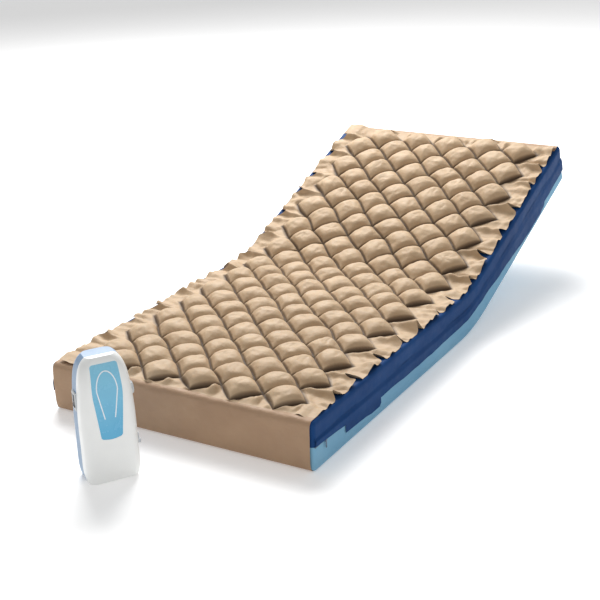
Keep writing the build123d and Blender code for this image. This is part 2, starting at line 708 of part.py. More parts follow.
# ================================================================ pump: works
CHASSIS = (24.0, 26.0)
MOUNT_PLACES = ((-44, 36), (44, 36), (-44, 84), (44, 84))
with BuildPart() as rubber_mounts:
    for place in MOUNT_PLACES:
        add(rod(PUMP.offset(CHASSIS[0]), place, 6, CHASSIS[0] - FOOT_HEIGHT - CASE_WALL))
save("rubber_mounts", rubber_mounts.part)

with BuildPart() as chassis:
    add(block(PUMP, (-64, 28, CHASSIS[0]), (64, 92, CHASSIS[1])))
    for place in MOUNT_PLACES:
        add(rod(PUMP.offset(CHASSIS[1] + 1), place, 2, 4), mode=Mode.SUBTRACT)
    for x in (-35, 35):  # cheeks that carry the arms' pins
        for y in (44, 72.5):
            add(block(PUMP, (x - 4, y, CHASSIS[1]), (x + 4, y + 3.5, 36)))
    for x in (-35, 35):
        add(rod(facing_front(44), (x, 32), 1.5, 32))
save("chassis", chassis.part)

CORE_TOP = 98.0
with BuildPart() as laminated_core:
    with BuildSketch(Plane(origin=PUMP.from_local_coords((17, 0, 0)), x_dir=PUMP.y_dir, z_dir=PUMP.x_dir)):
        with Locations((60, (CHASSIS[1] + CORE_TOP) / 2)):
            Rectangle(60, CORE_TOP - CHASSIS[1])
        with Locations((44, 62), (76, 62)):
            Rectangle(14, 46, mode=Mode.SUBTRACT)
    extrude(amount=-34)
save("laminated_core", laminated_core.part)

with BuildPart() as coil:
    with BuildSketch(PUMP.offset(40)):
        with Locations((0, 60)):
            RectangleRounded(56, 40, 9)
            Rectangle(34, 18, mode=Mode.SUBTRACT)
    extrude(amount=44)
save("coil", coil.part)


def armature(side):
    """A swinging arm with a magnet beside the core's top bar and a push button for its diaphragm."""
    x = side * 35
    face = sorted((side * 20.5, side * 34))
    button = sorted((side * 36, side * 41.5))
    with BuildPart() as arm:
        add(block(PUMP, (x - 1, 50, 32), (x + 1, 70, 100)))
        add(rod(facing_front(50), (x, 32), 3.5, 20))
        add(rod(facing_front(49), (x, 32), 1.5 + RUNNING_CLEARANCE, 22), mode=Mode.SUBTRACT)
        add(block(PUMP, (button[0], 57, 62), (button[1], 63, 68)))
        add(block(PUMP, (face[0], 50, 86), (face[1], 70, 98)))
    return arm.part


save("armature_left", armature(-1))
save("armature_right", armature(1))


def valve_box(side):
    """The pumping chamber and its valves, on a foot from the chassis, with an outlet on top."""
    wide = sorted((side * 46, side * 62))
    with BuildPart() as box:
        add(block(PUMP, (wide[0], 45, 48), (wide[1], 75, 82)))
        add(block(PUMP, (wide[0], 50, CHASSIS[1]), (wide[1], 70, 48)))
        add(rod(PUMP.offset(90), (side * 54, 60), INNER_SPIGOT, 8))
    return box.part


save("valve_box_left", valve_box(-1))
save("valve_box_right", valve_box(1))

with BuildPart() as diaphragms:
    for side in (-1, 1):
        x_low, x_high = sorted((side * 43, side * 46))
        add(rod(facing_side(x_high, 60, 65), (0, 0), 14, x_high - x_low))
save("diaphragms", diaphragms.part)

# The distributor: a slow motor turns a slotted disc that feeds one set of cells, then the other.
DISTRIBUTOR_RADIUS = 22.0
ROTOR = (18.0, 72.0, 77.0)  # radius, front and back
ROTOR_GAP = 0.3
MOTOR = (21.0, 48.0, 69.0)
PORT_DEPTH = 88.0
x_hub, z_hub = DISTRIBUTOR_AT
with BuildPart() as distributor:
    add(rod(facing_front(MOTOR[2]), DISTRIBUTOR_AT, DISTRIBUTOR_RADIUS, DISTRIBUTOR_BACK - MOTOR[2]))
    cavity_depth = ROTOR[2] + ROTOR_GAP - MOTOR[2]
    add(rod(facing_front(MOTOR[2]), DISTRIBUTOR_AT, ROTOR[0] + ROTOR_GAP, cavity_depth), mode=Mode.SUBTRACT)
    for x in (-12, 12):
        add(rod(PUMP.offset(z_hub - 12), (x, PORT_DEPTH), INNER_SPIGOT, 18))
    for z in (z_hub - 8, z_hub + 8):
        add(rod(facing_side(32, PORT_DEPTH, z), (0, 0), INNER_SPIGOT, 16))
save("distributor", distributor.part)

with BuildPart() as distributor_motor:
    add(rod(facing_front(MOTOR[1]), DISTRIBUTOR_AT, MOTOR[0], MOTOR[2] - MOTOR[1]))
    shaft_bore = DIAL_SHAFT + RUNNING_CLEARANCE
    add(rod(facing_front(58), DISTRIBUTOR_AT, shaft_bore, 12), mode=Mode.SUBTRACT)
save("distributor_motor", distributor_motor.part)

with BuildPart() as valve_rotor:
    add(rod(facing_front(ROTOR[1]), DISTRIBUTOR_AT, ROTOR[0], ROTOR[2] - ROTOR[1]))
    for x, z in ((x_hub - 11, z_hub), (x_hub + 7, z_hub + 7)):
        add(rod(facing_front(ROTOR[1]), (x, z), 3.5, 6), mode=Mode.SUBTRACT)
    add(rod(facing_front(60), DISTRIBUTOR_AT, DIAL_SHAFT, 12))
save("valve_rotor", valve_rotor.part)

TUBE_RADIUS = 4.2


def air_tube(start, start_way, end, end_way):
    """A bent tube from one spigot's tip to another's, in the pump's own coordinates."""
    first = PUMP.from_local_coords(start)
    last = PUMP.from_local_coords(end)
    ways = [PUMP.x_dir * way[0] + PUMP.y_dir * way[1] + PUMP.z_dir * way[2] for way in (start_way, end_way)]
    with BuildPart() as tube:
        with BuildLine() as route:
            Spline(first, last, tangents=ways)
        with BuildSketch(Plane(origin=first, z_dir=ways[0])):
            Circle(TUBE_RADIUS)
            Circle(INNER_SPIGOT, mode=Mode.SUBTRACT)
        sweep(path=route.wires()[0])
    return tube.part


with BuildPart() as inner_tubes:
    for side in (-1, 1):
        add(air_tube((side * 54, 60, 90), (0, 0, 1), (side * 12, PORT_DEPTH, z_hub - 30), (0, 0, 1)))
    for depth, rise in zip(OUTLET_DEPTHS, (8, -8)):
        elbow = (ELBOW_X, depth, OUTLET_TOP + 8)
        add(air_tube(elbow, (0, 0, 1), (32, PORT_DEPTH, z_hub + rise), (-1, 0, 0)))
save("inner_tubes", inner_tubes.part)

with BuildPart() as circuit_board:
    board_back = BOARD_FACE + BOARD_THICKNESS
    add(block(PUMP, (-38, BOARD_FACE, 240), (38, board_back, 302)))
    add(block(PUMP, (-30, BOARD_FACE - 22, 250), (-6, BOARD_FACE, 276)))
    add(block(PUMP, (4, BOARD_FACE - 12, 256), (28, BOARD_FACE, 270)))
    for x in (8, 18, 28):
        add(rod(facing_front(BOARD_FACE - 14), (x, 286), 4, 14))
save("circuit_board", circuit_board.part)
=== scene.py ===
"""Pressure relief mattress with its bubble pad and pump, for Blender 4.5. Metres, in the CAD frame."""

import json
import math

import bmesh
import bpy
import numpy as np
from mathutils import Matrix, Vector


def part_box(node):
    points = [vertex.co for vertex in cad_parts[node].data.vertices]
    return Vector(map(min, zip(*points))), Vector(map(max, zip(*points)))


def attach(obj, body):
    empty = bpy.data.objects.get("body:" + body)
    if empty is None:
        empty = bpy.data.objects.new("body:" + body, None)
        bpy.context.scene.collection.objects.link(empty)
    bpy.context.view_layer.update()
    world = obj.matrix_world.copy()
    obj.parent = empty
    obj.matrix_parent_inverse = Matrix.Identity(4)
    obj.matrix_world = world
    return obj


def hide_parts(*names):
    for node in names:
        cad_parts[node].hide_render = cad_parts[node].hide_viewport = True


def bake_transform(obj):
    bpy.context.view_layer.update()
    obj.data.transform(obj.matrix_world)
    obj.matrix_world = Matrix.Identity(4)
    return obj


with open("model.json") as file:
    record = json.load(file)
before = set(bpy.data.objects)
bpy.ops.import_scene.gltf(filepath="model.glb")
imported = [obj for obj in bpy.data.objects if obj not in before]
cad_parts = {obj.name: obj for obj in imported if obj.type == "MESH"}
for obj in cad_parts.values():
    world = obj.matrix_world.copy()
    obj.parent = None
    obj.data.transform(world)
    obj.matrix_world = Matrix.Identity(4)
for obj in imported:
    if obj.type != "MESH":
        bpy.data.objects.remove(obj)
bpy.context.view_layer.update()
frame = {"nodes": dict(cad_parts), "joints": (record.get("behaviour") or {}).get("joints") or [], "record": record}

# ---------------------------------------------------------------- sizes taken from the frame
FOOT_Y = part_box("top_cover_base")[0][1]
HALF_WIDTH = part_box("top_cover_base")[1][0]
COVER_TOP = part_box("top_cover_base")[1][2]
ZIP_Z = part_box("top_cover_base")[0][2]
PAD_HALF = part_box("bubble_pad_base")[1][0]
back_joint = next(joint for joint in frame["joints"] if joint["name"] == "back_raise")
FOLD_Y = back_joint["pos_m"][1]
PAD_TOP = back_joint["pos_m"][2]
BACK_LENGTH = 0.89  # from the fold to the head end
HEAD_Y = FOLD_Y + BACK_LENGTH
RAISE = math.radians(19.4)  # how far the back section is raised at rest
CELL = 0.070  # half the diagonal of one diamond air cell, across the pad
ROW = 0.0685  # half the diagonal along the pad, and the distance from row to row
COLUMNS = 5
ROWS = 27
FIRST_ROW_Y = (FOOT_Y + HEAD_Y) / 2 - ROW * (ROWS - 1) / 2
FIRST_CELL_X = -CELL * (2 * COLUMNS - 1) / 2
EDGE_ROUND = 0.013  # radius of the cover's edges
SHORT_REACH = CELL * (COLUMNS - 0.5)  # how far out the short end of a row comes
rng = np.random.default_rng(7)

# ---------------------------------------------------------------- bending the flat mattress
BEND_HALF = 0.105  # the mattress bends over this length each side of the fold
BEND_STEPS = 400


def bend_table():
    """Distances along the flat pad top, and where each comes to lie on the raised mattress."""
    s = np.linspace(-BEND_HALF, BEND_HALF, BEND_STEPS)
    t = (s + BEND_HALF) / (2 * BEND_HALF)
    angle = RAISE * t * t * (3 - 2 * t)
    step = s[1] - s[0]
    middle = (angle[1:] + angle[:-1]) / 2
    y = np.concatenate([[0], np.cumsum(np.cos(middle)) * step])
    z = np.concatenate([[0], np.cumsum(np.sin(middle)) * step])
    reach = z[-1] / math.sin(RAISE)
    scale = BEND_HALF / reach
    return s, angle, y * scale - BEND_HALF, z * scale


BEND = bend_table()


def bent(points):
    """Carries an array of points of the flat mattress to the raised one."""
    points = np.asarray(points, float)
    s = points[:, 1] - FOLD_Y
    height = points[:, 2] - PAD_TOP
    angle = np.interp(s, BEND[0], BEND[1])
    line_y = np.interp(s, BEND[0], BEND[2])
    line_z = np.interp(s, BEND[0], BEND[3])
    over = np.maximum(s - BEND_HALF, 0)
    under = np.minimum(s + BEND_HALF, 0)
    line_y = line_y + over * math.cos(RAISE) + under
    line_z = line_z + over * math.sin(RAISE)
    y = FOLD_Y + line_y - height * np.sin(angle)
    z = PAD_TOP + line_z + height * np.cos(angle)
    return np.stack([points[:, 0], y, z], axis=1)


# ---------------------------------------------------------------- camera, solved from the photo's corners
CAMERA_AT = (1.9594, -3.0841, 1.6582)
CAMERA_HEADING = math.radians(-31.004)
CAMERA_PITCH = math.radians(21.315)
CAMERA_ROLL = math.radians(-2.24)
CAMERA_LENS = 75.46


def add_camera():
    """The camera at its place, turned by its heading, pitch and roll."""
    forward = Vector((
        math.sin(CAMERA_HEADING) * math.cos(CAMERA_PITCH),
        math.cos(CAMERA_HEADING) * math.cos(CAMERA_PITCH),
        -math.sin(CAMERA_PITCH),
    ))
    level = Vector((math.cos(CAMERA_HEADING), -math.sin(CAMERA_HEADING), 0))
    above = level.cross(forward)
    right = level * math.cos(CAMERA_ROLL) + above * math.sin(CAMERA_ROLL)
    up = above * math.cos(CAMERA_ROLL) - level * math.sin(CAMERA_ROLL)
    camera = bpy.data.objects.new("camera", bpy.data.cameras.new("camera"))
    bpy.context.collection.objects.link(camera)
    turn = Matrix((right, up, -forward)).transposed().to_4x4()
    camera.matrix_world = Matrix.Translation(CAMERA_AT) @ turn
    camera.data.lens = CAMERA_LENS
    camera.data.clip_end = 50
    bpy.context.scene.camera = camera


add_camera()


# ---------------------------------------------------------------- mesh helpers
def new_mesh(name, points, faces, smooth=True):
    """A new object from an array of points and a list or array of faces."""
    mesh = bpy.data.meshes.new(name)
    mesh.from_pydata(np.asarray(points).tolist(), [], np.asarray(faces).tolist())
    mesh.update()
    if smooth:
        mesh.shade_smooth()
    piece = bpy.data.objects.new(name, mesh)
    bpy.context.collection.objects.link(piece)
    return piece


def grid_faces(rows, columns, start=0):
    """Quads between rows x columns points that are stored row after row."""
    index = np.arange(rows * columns).reshape(rows, columns) + start
    return np.stack([index[:-1, :-1], index[:-1, 1:], index[1:, 1:], index[1:, :-1]], axis=-1).reshape(-1, 4)


def smoothstep(low, high, value):
    """0 below low and 1 above high, with a soft rise between."""
    t = np.clip((value - low) / (high - low), 0, 1)
    return t * t * (3 - 2 * t)


WAVES_EACH = 5


def waves(points, scales, seed):
    """A smooth random field: a few sine waves in random directions for each wavelength and amount."""
    draw = np.random.default_rng(seed)
    total = np.zeros(len(points))
    for wavelength, amount in scales:
        for _ in range(WAVES_EACH):
            way = draw.normal(size=points.shape[1])
            way *= 2 * math.pi / wavelength / np.linalg.norm(way)
            total += amount * np.sin(points @ way + draw.uniform(0, 2 * math.pi)) / 2.2
    return total


# ---------------------------------------------------------------- air cells, blown up by simulation
CELL_STEPS = 30  # quads along one cell's edge
CELL_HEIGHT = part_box("bubble_pad_base")[1][2] - PAD_TOP
CELL_EDGE = CELL * math.sqrt(2)
VARIANTS = 6  # films to draw from
CLOTH_FRAMES = 20
# one cell's square: where each point is across it, how high it rises, and how far it is from the welds
LINE = np.linspace(-1, 1, CELL_STEPS + 1)
ACROSS, ALONG = np.meshgrid(LINE, LINE, indexing="ij")
CROWN = np.sqrt(np.clip(1 - np.abs(ACROSS) ** 2.1, 0, 1) * np.clip(1 - np.abs(ALONG) ** 2.1, 0, 1))
OFF_WELD = np.minimum(1 - np.abs(ACROSS), 1 - np.abs(ALONG))


def even_film(height):
    """A smooth cell of this height, as a grid of points in its own square: along two edges, and up."""
    return np.stack([ACROSS * CELL_EDGE / 2, ALONG * CELL_EDGE / 2, height * CROWN], axis=-1)


def cell_film(seed):
    """One cell's film before it is blown up, slightly uneven."""
    points = even_film(0.98 * CELL_HEIGHT).reshape(-1, 3)
    uneven = waves(points, ((0.06, 0.0015), (0.03, 0.0008), (0.015, 0.0003)), seed)
    points[:, 2] += uneven * CROWN.reshape(-1)
    return points


def blow_up(seed):
    """Runs the cloth simulation on one cell with its welds pinned, and returns the film's points."""
    points = cell_film(seed)
    side = CELL_STEPS + 1
    piece = new_mesh("cell_film", points, grid_faces(side, side))
    weld = piece.vertex_groups.new(name="weld")
    index = np.arange(side * side).reshape(side, side)
    edge = np.unique(np.concatenate([index[0], index[-1], index[:, 0], index[:, -1]]))
    weld.add(edge.tolist(), 1.0, "REPLACE")
    cloth = piece.modifiers.new("cloth", "CLOTH")
    cloth.settings.quality = 8
    cloth.settings.mass = 0.15
    cloth.settings.tension_stiffness = 40
    cloth.settings.compression_stiffness = 40
    cloth.settings.shear_stiffness = 15
    cloth.settings.bending_stiffness = 0.4
    cloth.settings.air_damping = 4
    cloth.settings.shrink_min = -0.02
    cloth.settings.vertex_group_mass = "weld"
    cloth.settings.use_pressure = True
    cloth.settings.uniform_pressure_force = 5
    cloth.settings.effector_weights.gravity = 0
    cloth.point_cache.frame_start = 1
    cloth.point_cache.frame_end = CLOTH_FRAMES
    for number in range(1, CLOTH_FRAMES + 1):
        bpy.context.scene.frame_set(number)
    settled = piece.evaluated_get(bpy.context.evaluated_depsgraph_get())
    result = np.array([vertex.co[:] for vertex in settled.data.vertices])
    bpy.data.objects.remove(piece)
    bpy.context.scene.frame_set(1)
    return eased(result.reshape(side, side, 3)).reshape(-1, 3)


def eased(grid, rounds=5):
    """Takes the finest puckers out of a film, and all of them close to its welds."""
    for _ in range(rounds):
        around = grid[:-2, 1:-1] + grid[2:, 1:-1] + grid[1:-1, :-2] + grid[1:-1, 2:]
        grid[1:-1, 1:-1] += 0.4 * (around / 4 - grid[1:-1, 1:-1])
    even = even_film(grid[..., 2].max())
    return even + smoothstep(0.06, 0.32, OFF_WELD)[..., None] * (grid - even)


films = [blow_up(seed) for seed in range(VARIANTS)]


# ---------------------------------------------------------------- bubble pad
MARGIN_STEPS = 16  # quads across the film's margin
OPEN_FILM = 0.16  # what the attribute "hollow" rises to in the margins, from 0 in the welds
NOTCH_DEPTH = 0.034  # how far the gathered film draws in beside the short rows
NOTCH_REACH = 0.28  # half a notch's width, in rows
RUFFLE = 0.010  # height of the loose waves at the film's edge
PLEAT = 0.018  # height of the pleat that runs in from each notch
SINK = 0.001  # the film may lie this far below the cover's top
# how deep the notches are along the right side, from the foot end
RIGHT_NOTCHES = (0.5, 1.25, 1.1, 0.9, 0.4, 0.5, 1.3, 0.45, 1.3, 0.5, 1.2, 0.4, 0.5)


def corner_line(position, first_short):
    """How far out the cells reach along an edge, from 0 in a short row to 1 in a long one."""
    return np.abs((position + first_short) % 2 - 1)


def notch_centres(seed):
    """How far each notch is moved along the edge, in rows, and how deep it is."""
    draw = np.random.default_rng(seed)
    return draw.uniform(-0.22, 0.22, 40), draw.uniform(0.45, 1.25, 40)


def nearest_notch(position, shifts):
    """The number of the notch each position belongs to, and where that notch's middle is."""
    number = np.floor((position + 1) / 2).astype(int) + 5
    return number, 2 * (number - 5) + shifts[number]


def lobes(position, seed, chosen=()):
    """0 in the middle of each lobe of the film's edge and 1 in the notch beside it, unevenly."""
    shifts, depths = notch_centres(seed)
    depths[6 : 6 + len(chosen)] = chosen
    number, centre = nearest_notch(position, shifts)
    notch = np.clip(1 - np.abs(position - centre) / NOTCH_REACH, 0, 1)
    return depths[number] * notch * notch * (3 - 2 * notch)


def ruffles(position, across, seed):
    """The height of the gathered margin: a pleat at each notch and looser waves between, more outward."""
    shifts, depths = notch_centres(seed)
    number, centre = nearest_notch(position, shifts)
    pleat = np.exp(-(((position - centre) / 0.16) ** 2))
    beside = np.exp(-(((position - centre - 0.34) / 0.14) ** 2))
    loose = np.random.default_rng(seed + 1).uniform(0, 2 * math.pi, 3)
    swell = np.sin(position * 4.1 + loose[0]) * 0.5 + np.sin(position * 6.7 + loose[1]) * 0.35
    swell += np.sin(position * 11.3 + loose[2]) * 0.22
    rise = PLEAT * depths[number] * (pleat - 0.45 * beside) + RUFFLE * (0.45 + swell)
    return rise * across**0.8


def puckers(x, y, t, seed):
    """Small folds all over a margin, none at the welds it starts from."""
    flat = np.stack([x.reshape(-1), y.reshape(-1)], axis=1)
    folds = waves(flat, ((0.10, 0.004), (0.05, 0.0022), (0.025, 0.0006)), 81 + seed).reshape(x.shape)
    return folds * smoothstep(0, 0.35, t[None, :])


def side_margin(side):
    """The film beyond the cells along one long side, from the foot row's corner to the head row's."""
    count = CELL_STEPS * (ROWS - 1) + 1
    position = np.linspace(0, ROWS - 1, count)
    y = FIRST_ROW_Y + ROW * position
    first_short = 0 if side > 0 else 1  # the first row reaches out on the right
    inner = SHORT_REACH + CELL * corner_line(position, first_short)
    notched = position + 1 - first_short
    outer = PAD_HALF - NOTCH_DEPTH * lobes(notched, 11 + side, RIGHT_NOTCHES if side > 0 else ())
    t = np.linspace(0, 1, MARGIN_STEPS + 1)
    x = inner[:, None] + (outer - inner)[:, None] * t[None, :]
    y = np.repeat(y[:, None], MARGIN_STEPS + 1, axis=1)
    z = ruffles(notched[:, None], t[None, :] * np.ones_like(x), 11 + side)
    z = PAD_TOP + np.maximum(z + puckers(x, y, t, side), -SINK)
    return np.stack([side * x, y, z], axis=-1)


def end_margin(end):
    """The film beyond the cells at the foot (-1) or the head (1), between the two outer corner lines."""
    count = 2 * CELL_STEPS * COLUMNS + 1
    position = np.linspace(0, 2 * COLUMNS, count)
    x = -SHORT_REACH + CELL * position
    row_y = FIRST_ROW_Y if end < 0 else FIRST_ROW_Y + ROW * (ROWS - 1)
    edge_y = FOOT_Y if end < 0 else HEAD_Y
    inner = row_y + end * ROW * corner_line(position, 1)
    outer = np.full_like(inner, edge_y - end * (EDGE_ROUND + 0.004))
    t = np.linspace(0, 1, MARGIN_STEPS + 1)
    y = inner[:, None] + (outer - inner)[:, None] * t[None, :]
    settle = 1 - smoothstep(0.45, 1.0, t[None, :])  # the film lies down where the flap begins
    x = np.repeat(x[:, None], MARGIN_STEPS + 1, axis=1)
    z = ruffles(position[:, None], t[None, :] * np.ones_like(y), 31 + end) + puckers(x, y, t, 5 + end)
    z = PAD_TOP + np.maximum(z * settle, 0)
    return np.stack([x, y, z], axis=-1)


def corner_margin(row, column):
    """Fills a corner of the film between two margins' end lines, which both start at the same point."""
    start = row[0]
    patch = row[:, None, :] + column[None, :, :] - start
    patch[..., 2] = np.maximum(patch[..., 2], PAD_TOP - SINK)
    return patch


def cell_points(film, x, y, turn, grow):
    """One cell's film, turned by quarter turns and carried to its place on the pad."""
    side = CELL_STEPS + 1
    grid = np.rot90(film.reshape(side, side, 3), turn)
    a, b, up = grid[..., 0], grid[..., 1], grid[..., 2]
    for _ in range(turn):
        a, b = -b, a
    half = math.sqrt(0.5)
    across, along = (a - b) * half, (a + b) * half * ROW / CELL
    return np.stack([x + across, y + along, PAD_TOP + grow * up], axis=-1)


def build_pad():
    """Every cell and margin as one film, merged along the welds, then bent with the mattress."""
    patches = []
    for row in range(ROWS):
        for column in range(COLUMNS):
            x = FIRST_CELL_X + CELL * (2 * column + (row + 1) % 2)
            y = FIRST_ROW_Y + ROW * row
            film = films[rng.integers(VARIANTS)]
            patches.append(cell_points(film, x, y, rng.integers(4), rng.uniform(0.78, 0.92)))
    right, left = side_margin(1), side_margin(-1)
    foot, head = end_margin(-1), end_margin(1)
    patches += [right, left, foot, head]
    patches += [
        corner_margin(right[0], foot[-1]),
        corner_margin(left[0], foot[0]),
        corner_margin(right[-1], head[-1]),
        corner_margin(left[-1], head[0]),
    ]
    points, faces, start = [], [], 0
    for patch in patches:
        rows, columns = patch.shape[:2]
        points.append(patch.reshape(-1, 3))
        faces.append(grid_faces(rows, columns, start))
        start += rows * columns
    points, faces = np.concatenate(points), np.concatenate(faces)
    inside = smoothstep(0, 0.05, PAD_HALF - np.abs(points[:, 0]))  # the rows wander, the long edges don't
    flat = points[:, :2]
    points[:, 0] += inside * waves(flat, ((0.31, 0.0035), (0.17, 0.0022)), 3)
    points[:, 1] += inside * waves(flat, ((0.29, 0.0035), (0.15, 0.0022)), 4)
    piece = new_mesh("bubble_pad_film", bent(points), faces)
    # hollow is 0 in the welds: there the shader darkens the film with the welds' own darker colour and painted
    # shade in the creases between the cells
    hollow = piece.data.attributes.new("hollow", "FLOAT", "POINT")
    welds = np.tile(OFF_WELD.reshape(-1), ROWS * COLUMNS)
    away = np.minimum(0.05 * np.arange(MARGIN_STEPS + 1), OPEN_FILM)
    margins = np.tile(away, sum(len(margin) for margin in (right, left, foot, head)))
    corners = np.tile(np.maximum.outer(away, away).reshape(-1), 4)
    depth = np.concatenate([welds, margins, corners])
    hollow.data.foreach_set("value", depth.astype(np.float32))
    mesh = bmesh.new()
    mesh.from_mesh(piece.data)
    bmesh.ops.remove_doubles(mesh, verts=mesh.verts, dist=0.0002)
    bmesh.ops.recalc_face_normals(mesh, faces=mesh.faces)
    mesh.to_mesh(piece.data)
    mesh.free()
    piece.data.shade_smooth()
    return piece


pad = build_pad()


# ---------------------------------------------------------------- covers and foam
SKIN_INSET = 0.004  # the foam stays this far inside the cover
FOAM_SEAM = 0.095  # where the two foam layers meet
FLAP_TUCK = 0.15  # how far the pad's end flaps reach in under the mattress


def rounded_block(low, high, radius, step):
    """A box with rounded edges, cut into pieces no longer than step, as a bmesh."""
    mesh = bmesh.new()
    bmesh.ops.create_cube(mesh, size=1)
    for vertex in mesh.verts:
        vertex.co = [low[k] + (vertex.co[k] + 0.5) * (high[k] - low[k]) for k in range(3)]
    bmesh.ops.bevel(mesh, geom=mesh.edges[:], offset=radius, segments=4, profile=0.5, affect="EDGES")
    for axis in range(3):
        count = math.ceil((high[axis] - low[axis]) / step[axis])
        for number in range(1, count):
            place = [0.0, 0.0, 0.0]
            place[axis] = low[axis] + (high[axis] - low[axis]) * number / count
            normal = [float(axis == k) for k in range(3)]
            everything = mesh.verts[:] + mesh.edges[:] + mesh.faces[:]
            bmesh.ops.bisect_plane(mesh, geom=everything, plane_co=place, plane_no=normal)
    return mesh


def finished(mesh, name, shape):
    """Turns a bmesh of the flat mattress into an object on the raised one. shape moves its points first."""
    data = bpy.data.meshes.new(name)
    mesh.to_mesh(data)
    mesh.free()
    points = np.array([vertex.co[:] for vertex in data.vertices])
    data.vertices.foreach_set("co", bent(shape(points)).astype(np.float32).reshape(-1))
    data.update()
    data.shade_smooth()
    piece = bpy.data.objects.new(name, data)
    bpy.context.collection.objects.link(piece)
    return piece


def cover_shape(points):
    """The cover's slight sag between its edges, its loose waves, and the tucked flaps pressing its floor in."""
    x, y, z = points.T
    inward = 0.0012 * (1 + waves(points, ((0.35, 0.5), (0.13, 0.35), (0.06, 0.2)), 51))
    inward = np.clip(inward, 0, 0.003)
    side = smoothstep(HALF_WIDTH - EDGE_ROUND, HALF_WIDTH - 0.002, np.abs(x))
    end = np.maximum(smoothstep(-FOOT_Y - 0.008, -FOOT_Y, -y), smoothstep(HEAD_Y - 0.008, HEAD_Y, y))
    middle = np.sin(math.pi * np.clip(z / COVER_TOP, 0, 1))
    x = x - np.sign(x) * inward * side * middle
    y = y + np.where(y < 0, 1, -1) * inward * end * middle
    tucked = smoothstep(-FLAP_TUCK - 0.01, -FLAP_TUCK, -np.minimum(y - FOOT_Y, HEAD_Y - y))
    under = tucked * smoothstep(-PAD_HALF - 0.006, -PAD_HALF, -np.abs(x)) * (z < 0.006)
    z = z + 0.0022 * under
    return np.stack([x, y, z], axis=1)


def cover_half(name, upper):
    """The cover above or below the zip."""
    low, high = (-HALF_WIDTH, FOOT_Y, 0), (HALF_WIDTH, HEAD_Y, COVER_TOP)
    mesh = rounded_block(low, high, EDGE_ROUND, (0.03, 0.015, 0.012))
    everything = mesh.verts[:] + mesh.edges[:] + mesh.faces[:]
    bmesh.ops.bisect_plane(
        mesh, geom=everything, plane_co=(0, 0, ZIP_Z), plane_no=(0, 0, 1), clear_inner=upper, clear_outer=not upper
    )
    return finished(mesh, name, cover_shape)


def foam_layer(name, z_low, z_high):
    """One of the two foam blocks inside the covers."""
    low = (-HALF_WIDTH + SKIN_INSET, FOOT_Y + SKIN_INSET, z_low)
    high = (HALF_WIDTH - SKIN_INSET, HEAD_Y - SKIN_INSET, z_high)
    mesh = rounded_block(low, high, 0.008, (0.1, 0.02, 0.05))
    return finished(mesh, name, lambda points: points)


cover_top = cover_half("cover_top", True)
cover_bottom = cover_half("cover_bottom", False)
foam_firm = foam_layer("foam_firm", 0.0055, FOAM_SEAM - 0.0002)
foam_soft = foam_layer("foam_soft", FOAM_SEAM + 0.0002, COVER_TOP - 0.0035)


# ---------------------------------------------------------------- storm flap, label pocket and zip tape
STITCH_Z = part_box("storm_flap_base")[1][2] + 0.012  # where the flap is sewn to the upper cover
STAND_OFF = 0.0026  # how far the flap hangs out from the cover
SLIDER_ROOM = 0.0030  # and further where the zip's slider runs
SLIDER_END = 1.0  # metres from the foot end
# the height the storm flap's hem hangs at on the right side: metres from the foot end, millimetres up
HEM = np.array([
    (0, 80), (0.08, 76), (0.17, 70), (0.26, 66), (0.33, 63), (0.396, 60), (0.45, 62), (0.55, 58), (0.65, 58),
    (0.76, 60), (0.94, 63), (1.06, 67), (1.18, 62), (1.28, 50), (1.33, 49), (1.41, 40), (1.50, 30), (1.60, 24),
    (1.68, 22), (1.726, 28), (1.738, 42), (1.95, 46),
])


def strip(name, rows):
    """A sheet through rows of points that run along the mattress."""
    rows = np.array(rows)
    return new_mesh(name, bent(rows.reshape(-1, 3)), grid_faces(*rows.shape[:2]))


def storm_flap(side):
    """The flap sewn on above the zip: out from the seam, then hanging down to its hem."""
    y = np.linspace(FOOT_Y + 0.004, HEAD_Y - 0.004, 390)
    seen = np.interp(y - FOOT_Y, HEM[:, 0], HEM[:, 1] / 1000)
    hem = seen if side > 0 else 0.06 + 0.004 * np.sin(y * 5.1) + 0.002 * np.sin(y * 17)
    slider = 1 - smoothstep(SLIDER_END, SLIDER_END + 0.1, y - FOOT_Y) if side > 0 else np.zeros_like(y)
    out = STAND_OFF + SLIDER_ROOM * slider
    rows = []
    for share in np.linspace(0, 1, 18):
        z = STITCH_Z + (hem - STITCH_Z) * share
        where = np.stack([y, z], axis=1)
        loose = 0.0013 * share * waves(where, ((0.22, 0.5), (0.09, 0.35), (0.04, 0.2)), 61 + side)
        off = -0.0006 + (out + 0.0006) * smoothstep(0, 0.4, share) + np.maximum(loose, -0.0006)
        rows.append(np.stack([side * (HALF_WIDTH + off), y, z], axis=1))
    return strip("storm_flap_right" if side > 0 else "storm_flap_left", rows)


def label_pocket():
    """The patch that hangs below the storm flap's hem near the foot end."""
    y = FOOT_Y + np.linspace(0.176, 0.392, 45)
    lower = np.interp(y - FOOT_Y, (0.176, 0.30, 0.33, 0.383, 0.392), (0.041, 0.036, 0.031, 0.031, 0.040))
    rows = []
    for share in np.linspace(0, 1, 9):
        z = ZIP_Z + (lower - ZIP_Z) * share
        x = HALF_WIDTH + 0.0006 + 0.0008 * share + 0.0002 * np.sin(y * 60 + 3 * share)
        rows.append(np.stack([x, y, z], axis=1))
    return strip("label_pocket_patch", rows)


ZIP_PROFILE = ((-0.002, 0.0001), (-0.0015, 0.0011), (0, 0.0014), (0.0015, 0.0011), (0.002, 0.0001))


def zip_tape(side):
    """The closed zip along one side, by its heights about ZIP_Z and how far out it comes at each."""
    y = np.linspace(FOOT_Y + 0.002, HEAD_Y - 0.002, 800)
    rows = []
    for z, out in ZIP_PROFILE:
        x = side * (HALF_WIDTH + out)
        rows.append(np.stack([np.full_like(y, x), y, np.full_like(y, ZIP_Z + z)], axis=1))
    return strip("zip_right" if side > 0 else "zip_left", rows)


